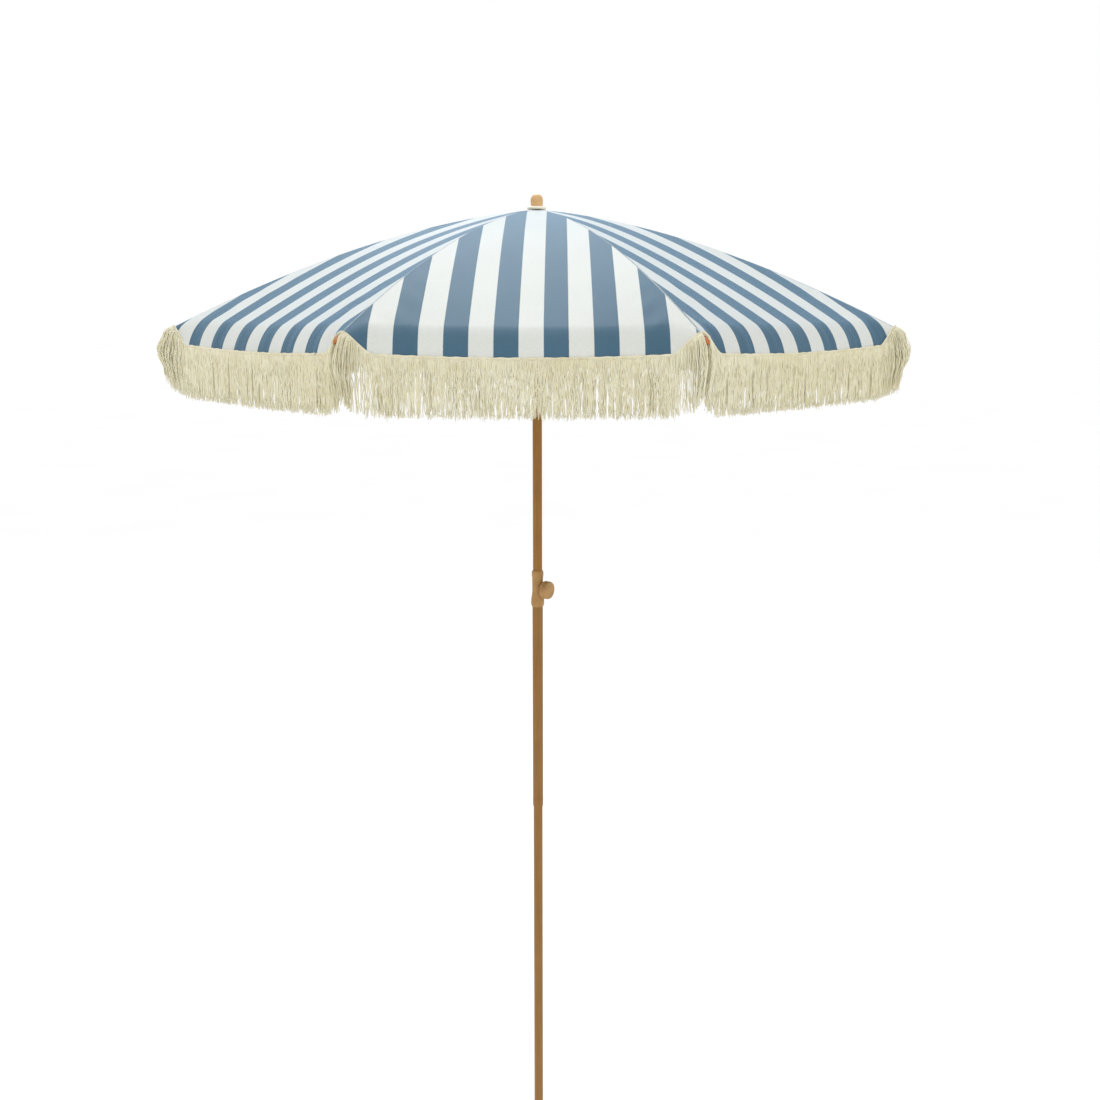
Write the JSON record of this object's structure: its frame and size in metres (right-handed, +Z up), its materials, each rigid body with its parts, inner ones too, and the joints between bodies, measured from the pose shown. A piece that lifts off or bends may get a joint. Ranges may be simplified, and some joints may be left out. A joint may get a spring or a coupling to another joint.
{
  "type": "beach umbrella",
  "caption": "Beach umbrella with a shallow striped fabric canopy, a deep fringe and a telescoping wood-look pole with a clamp collar.",
  "frame": {"origin": "blunt tip of the ground spike, on the pole's axis", "axes": "+Z up along the pole; -Y faces the viewer, square to one canopy panel; +X to the viewer's right"},
  "size_m": [1.714, 1.714, 2.722],
  "materials": {
    "pole_tan": "satin",
    "fitting_tan": "satin",
    "steel_white": "satin",
    "wire_steel": "satin",
    "canopy_cloth": "woven, striped",
    "fringe_cotton": "twisted cotton",
    "tip_orange": "satin",
    "cream_plastic": "satin"
  },
  "bodies": {
    "lower_pole": {"lower_pole": "pole_tan", "pole_spike": "fitting_tan"},
    "middle_pole": {"middle_pole": "pole_tan", "pole_ferrule": "fitting_tan", "clamp_collar": "fitting_tan"},
    "clamp_screw": {"clamp_screw": "wire_steel"},
    "clamp_knob": {"clamp_knob": "fitting_tan"},
    "upper_pole": {"upper_pole": "pole_tan", "crown_hub": "fitting_tan", "crown_wire": "wire_steel", "cap_washer": "cream_plastic", "finial": "fitting_tan"},
    "runner": {"runner": "fitting_tan", "runner_wire": "wire_steel"},
    "runner_button": {"runner_button": "cream_plastic"},
    "rib_1": {"rib_1": "steel_white", "rib_tip_1": "tip_orange", "canopy_gore_1": "canopy_cloth"},
    "fringe_1": {"fringe_1": "fringe_cotton"},
    "stretcher_1": {"stretcher_1": "steel_white"},
    "rib_2": {"rib_2": "steel_white", "rib_tip_2": "tip_orange", "canopy_gore_2": "canopy_cloth"},
    "fringe_2": {"fringe_2": "fringe_cotton"},
    "stretcher_2": {"stretcher_2": "steel_white"},
    "rib_3": {"rib_3": "steel_white", "rib_tip_3": "tip_orange", "canopy_gore_3": "canopy_cloth"},
    "fringe_3": {"fringe_3": "fringe_cotton"},
    "stretcher_3": {"stretcher_3": "steel_white"},
    "rib_4": {"rib_4": "steel_white", "rib_tip_4": "tip_orange", "canopy_gore_4": "canopy_cloth"},
    "fringe_4": {"fringe_4": "fringe_cotton"},
    "stretcher_4": {"stretcher_4": "steel_white"},
    "rib_5": {"rib_5": "steel_white", "rib_tip_5": "tip_orange", "canopy_gore_5": "canopy_cloth"},
    "fringe_5": {"fringe_5": "fringe_cotton"},
    "stretcher_5": {"stretcher_5": "steel_white"},
    "rib_6": {"rib_6": "steel_white", "rib_tip_6": "tip_orange", "canopy_gore_6": "canopy_cloth"},
    "fringe_6": {"fringe_6": "fringe_cotton"},
    "stretcher_6": {"stretcher_6": "steel_white"},
    "rib_7": {"rib_7": "steel_white", "rib_tip_7": "tip_orange", "canopy_gore_7": "canopy_cloth"},
    "fringe_7": {"fringe_7": "fringe_cotton"},
    "stretcher_7": {"stretcher_7": "steel_white"},
    "rib_8": {"rib_8": "steel_white", "rib_tip_8": "tip_orange", "canopy_gore_8": "canopy_cloth"},
    "fringe_8": {"fringe_8": "fringe_cotton"},
    "stretcher_8": {"stretcher_8": "steel_white"}
  },
  "joints": [
    {"name": "pole_pull_apart", "type": "slide", "parent": "lower_pole", "child": "middle_pole", "axis": [0, 0, 1], "range_m": [0, 0.26]},
    {"name": "height_slide", "type": "slide", "parent": "middle_pole", "child": "upper_pole", "axis": [0, 0, 1], "range_m": [-0.1, 0.12]},
    {"name": "clamp_screw_travel", "type": "slide", "parent": "middle_pole", "child": "clamp_screw", "axis": [0.8387, -0.5446, 0], "range_m": [0, 0.0025]},
    {"name": "clamp_knob_turn", "type": "hinge", "parent": "clamp_screw", "child": "clamp_knob", "pos_m": [0.01719, -0.01117, 1.691], "axis": [0.8387, -0.5446, 0], "range_deg": [0, 720]},
    {"name": "rib_1_fold", "type": "hinge", "parent": "upper_pole", "child": "rib_1", "pos_m": [0.00727, -0.01755, 2.672], "axis": [0.9239, 0.3827, 0], "range_deg": [0, 67], "deforming": ["canopy_gore_1"]},
    {"name": "fringe_1_hang", "type": "hinge", "parent": "rib_1", "child": "fringe_1", "pos_m": [0.34767, -0.83934, 2.3985], "axis": [0.9239, 0.3827, 0], "range_deg": [-67, 0], "deforming": ["fringe_1"]},
    {"name": "stretcher_1_fold", "type": "hinge", "parent": "rib_1", "child": "stretcher_1", "pos_m": [0.14016, -0.33837, 2.59767], "axis": [0.9239, 0.3827, 0], "range_deg": [-134, 0]},
    {"name": "rib_2_fold", "type": "hinge", "parent": "upper_pole", "child": "rib_2", "pos_m": [0.01755, -0.00727, 2.672], "axis": [0.3827, 0.9239, 0], "range_deg": [0, 67], "deforming": ["canopy_gore_2"]},
    {"name": "fringe_2_hang", "type": "hinge", "parent": "rib_2", "child": "fringe_2", "pos_m": [0.83934, -0.34767, 2.3985], "axis": [0.3827, 0.9239, 0], "range_deg": [-67, 0], "deforming": ["fringe_2"]},
    {"name": "stretcher_2_fold", "type": "hinge", "parent": "rib_2", "child": "stretcher_2", "pos_m": [0.33837, -0.14016, 2.59767], "axis": [0.3827, 0.9239, 0], "range_deg": [-134, 0]},
    {"name": "rib_3_fold", "type": "hinge", "parent": "upper_pole", "child": "rib_3", "pos_m": [0.01755, 0.00727, 2.672], "axis": [-0.3827, 0.9239, 0], "range_deg": [0, 67], "deforming": ["canopy_gore_3"]},
    {"name": "fringe_3_hang", "type": "hinge", "parent": "rib_3", "child": "fringe_3", "pos_m": [0.83934, 0.34767, 2.3985], "axis": [-0.3827, 0.9239, 0], "range_deg": [-67, 0], "deforming": ["fringe_3"]},
    {"name": "stretcher_3_fold", "type": "hinge", "parent": "rib_3", "child": "stretcher_3", "pos_m": [0.33837, 0.14016, 2.59767], "axis": [-0.3827, 0.9239, 0], "range_deg": [-134, 0]},
    {"name": "rib_4_fold", "type": "hinge", "parent": "upper_pole", "child": "rib_4", "pos_m": [0.00727, 0.01755, 2.672], "axis": [-0.9239, 0.3827, 0], "range_deg": [0, 67], "deforming": ["canopy_gore_4"]},
    {"name": "fringe_4_hang", "type": "hinge", "parent": "rib_4", "child": "fringe_4", "pos_m": [0.34767, 0.83934, 2.3985], "axis": [-0.9239, 0.3827, 0], "range_deg": [-67, 0], "deforming": ["fringe_4"]},
    {"name": "stretcher_4_fold", "type": "hinge", "parent": "rib_4", "child": "stretcher_4", "pos_m": [0.14016, 0.33837, 2.59767], "axis": [-0.9239, 0.3827, 0], "range_deg": [-134, 0]},
    {"name": "rib_5_fold", "type": "hinge", "parent": "upper_pole", "child": "rib_5", "pos_m": [-0.00727, 0.01755, 2.672], "axis": [-0.9239, -0.3827, 0], "range_deg": [0, 67], "deforming": ["canopy_gore_5"]},
    {"name": "fringe_5_hang", "type": "hinge", "parent": "rib_5", "child": "fringe_5", "pos_m": [-0.34767, 0.83934, 2.3985], "axis": [-0.9239, -0.3827, 0], "range_deg": [-67, 0], "deforming": ["fringe_5"]},
    {"name": "stretcher_5_fold", "type": "hinge", "parent": "rib_5", "child": "stretcher_5", "pos_m": [-0.14016, 0.33837, 2.59767], "axis": [-0.9239, -0.3827, 0], "range_deg": [-134, 0]},
    {"name": "rib_6_fold", "type": "hinge", "parent": "upper_pole", "child": "rib_6", "pos_m": [-0.01755, 0.00727, 2.672], "axis": [-0.3827, -0.9239, 0], "range_deg": [0, 67], "deforming": ["canopy_gore_6"]},
    {"name": "fringe_6_hang", "type": "hinge", "parent": "rib_6", "child": "fringe_6", "pos_m": [-0.83934, 0.34767, 2.3985], "axis": [-0.3827, -0.9239, 0], "range_deg": [-67, 0], "deforming": ["fringe_6"]},
    {"name": "stretcher_6_fold", "type": "hinge", "parent": "rib_6", "child": "stretcher_6", "pos_m": [-0.33837, 0.14016, 2.59767], "axis": [-0.3827, -0.9239, 0], "range_deg": [-134, 0]},
    {"name": "rib_7_fold", "type": "hinge", "parent": "upper_pole", "child": "rib_7", "pos_m": [-0.01755, -0.00727, 2.672], "axis": [0.3827, -0.9239, 0], "range_deg": [0, 67], "deforming": ["canopy_gore_7"]},
    {"name": "fringe_7_hang", "type": "hinge", "parent": "rib_7", "child": "fringe_7", "pos_m": [-0.83934, -0.34767, 2.3985], "axis": [0.3827, -0.9239, 0], "range_deg": [-67, 0], "deforming": ["fringe_7"]},
    {"name": "stretcher_7_fold", "type": "hinge", "parent": "rib_7", "child": "stretcher_7", "pos_m": [-0.33837, -0.14016, 2.59767], "axis": [0.3827, -0.9239, 0], "range_deg": [-134, 0]},
    {"name": "rib_8_fold", "type": "hinge", "parent": "upper_pole", "child": "rib_8", "pos_m": [-0.00727, -0.01755, 2.672], "axis": [0.9239, -0.3827, 0], "range_deg": [0, 67], "deforming": ["canopy_gore_8"]},
    {"name": "fringe_8_hang", "type": "hinge", "parent": "rib_8", "child": "fringe_8", "pos_m": [-0.34767, -0.83934, 2.3985], "axis": [0.9239, -0.3827, 0], "range_deg": [-67, 0], "deforming": ["fringe_8"]},
    {"name": "stretcher_8_fold", "type": "hinge", "parent": "rib_8", "child": "stretcher_8", "pos_m": [-0.14016, -0.33837, 2.59767], "axis": [0.9239, -0.3827, 0], "range_deg": [-134, 0]},
    {"name": "runner_level", "type": "hinge", "parent": "stretcher_1", "child": "runner", "pos_m": [0.00727, -0.01755, 2.52334], "axis": [0.9239, 0.3827, 0], "range_deg": [0, 67]},
    {"name": "runner_button_press", "type": "slide", "parent": "runner", "child": "runner_button", "axis": [0, 1, 0], "range_m": [0, 0.003], "stiffness_N_per_m": 300, "springref_m": -0.002}
  ],
  "couplings": [
    {"joint": "clamp_screw_travel", "follows": "clamp_knob_turn", "m_per_rad": 0.00019894},
    {"joint": "fringe_1_hang", "follows": "rib_1_fold", "ratio": -1},
    {"joint": "stretcher_1_fold", "follows": "rib_1_fold", "ratio": -2},
    {"joint": "fringe_2_hang", "follows": "rib_1_fold", "ratio": -1},
    {"joint": "rib_2_fold", "follows": "rib_1_fold", "ratio": 1},
    {"joint": "stretcher_2_fold", "follows": "rib_1_fold", "ratio": -2},
    {"joint": "fringe_3_hang", "follows": "rib_1_fold", "ratio": -1},
    {"joint": "rib_3_fold", "follows": "rib_1_fold", "ratio": 1},
    {"joint": "stretcher_3_fold", "follows": "rib_1_fold", "ratio": -2},
    {"joint": "fringe_4_hang", "follows": "rib_1_fold", "ratio": -1},
    {"joint": "rib_4_fold", "follows": "rib_1_fold", "ratio": 1},
    {"joint": "stretcher_4_fold", "follows": "rib_1_fold", "ratio": -2},
    {"joint": "fringe_5_hang", "follows": "rib_1_fold", "ratio": -1},
    {"joint": "rib_5_fold", "follows": "rib_1_fold", "ratio": 1},
    {"joint": "stretcher_5_fold", "follows": "rib_1_fold", "ratio": -2},
    {"joint": "fringe_6_hang", "follows": "rib_1_fold", "ratio": -1},
    {"joint": "rib_6_fold", "follows": "rib_1_fold", "ratio": 1},
    {"joint": "stretcher_6_fold", "follows": "rib_1_fold", "ratio": -2},
    {"joint": "fringe_7_hang", "follows": "rib_1_fold", "ratio": -1},
    {"joint": "rib_7_fold", "follows": "rib_1_fold", "ratio": 1},
    {"joint": "stretcher_7_fold", "follows": "rib_1_fold", "ratio": -2},
    {"joint": "fringe_8_hang", "follows": "rib_1_fold", "ratio": -1},
    {"joint": "rib_8_fold", "follows": "rib_1_fold", "ratio": 1},
    {"joint": "stretcher_8_fold", "follows": "rib_1_fold", "ratio": -2},
    {"joint": "runner_level", "follows": "rib_1_fold", "ratio": 1}
  ]
}
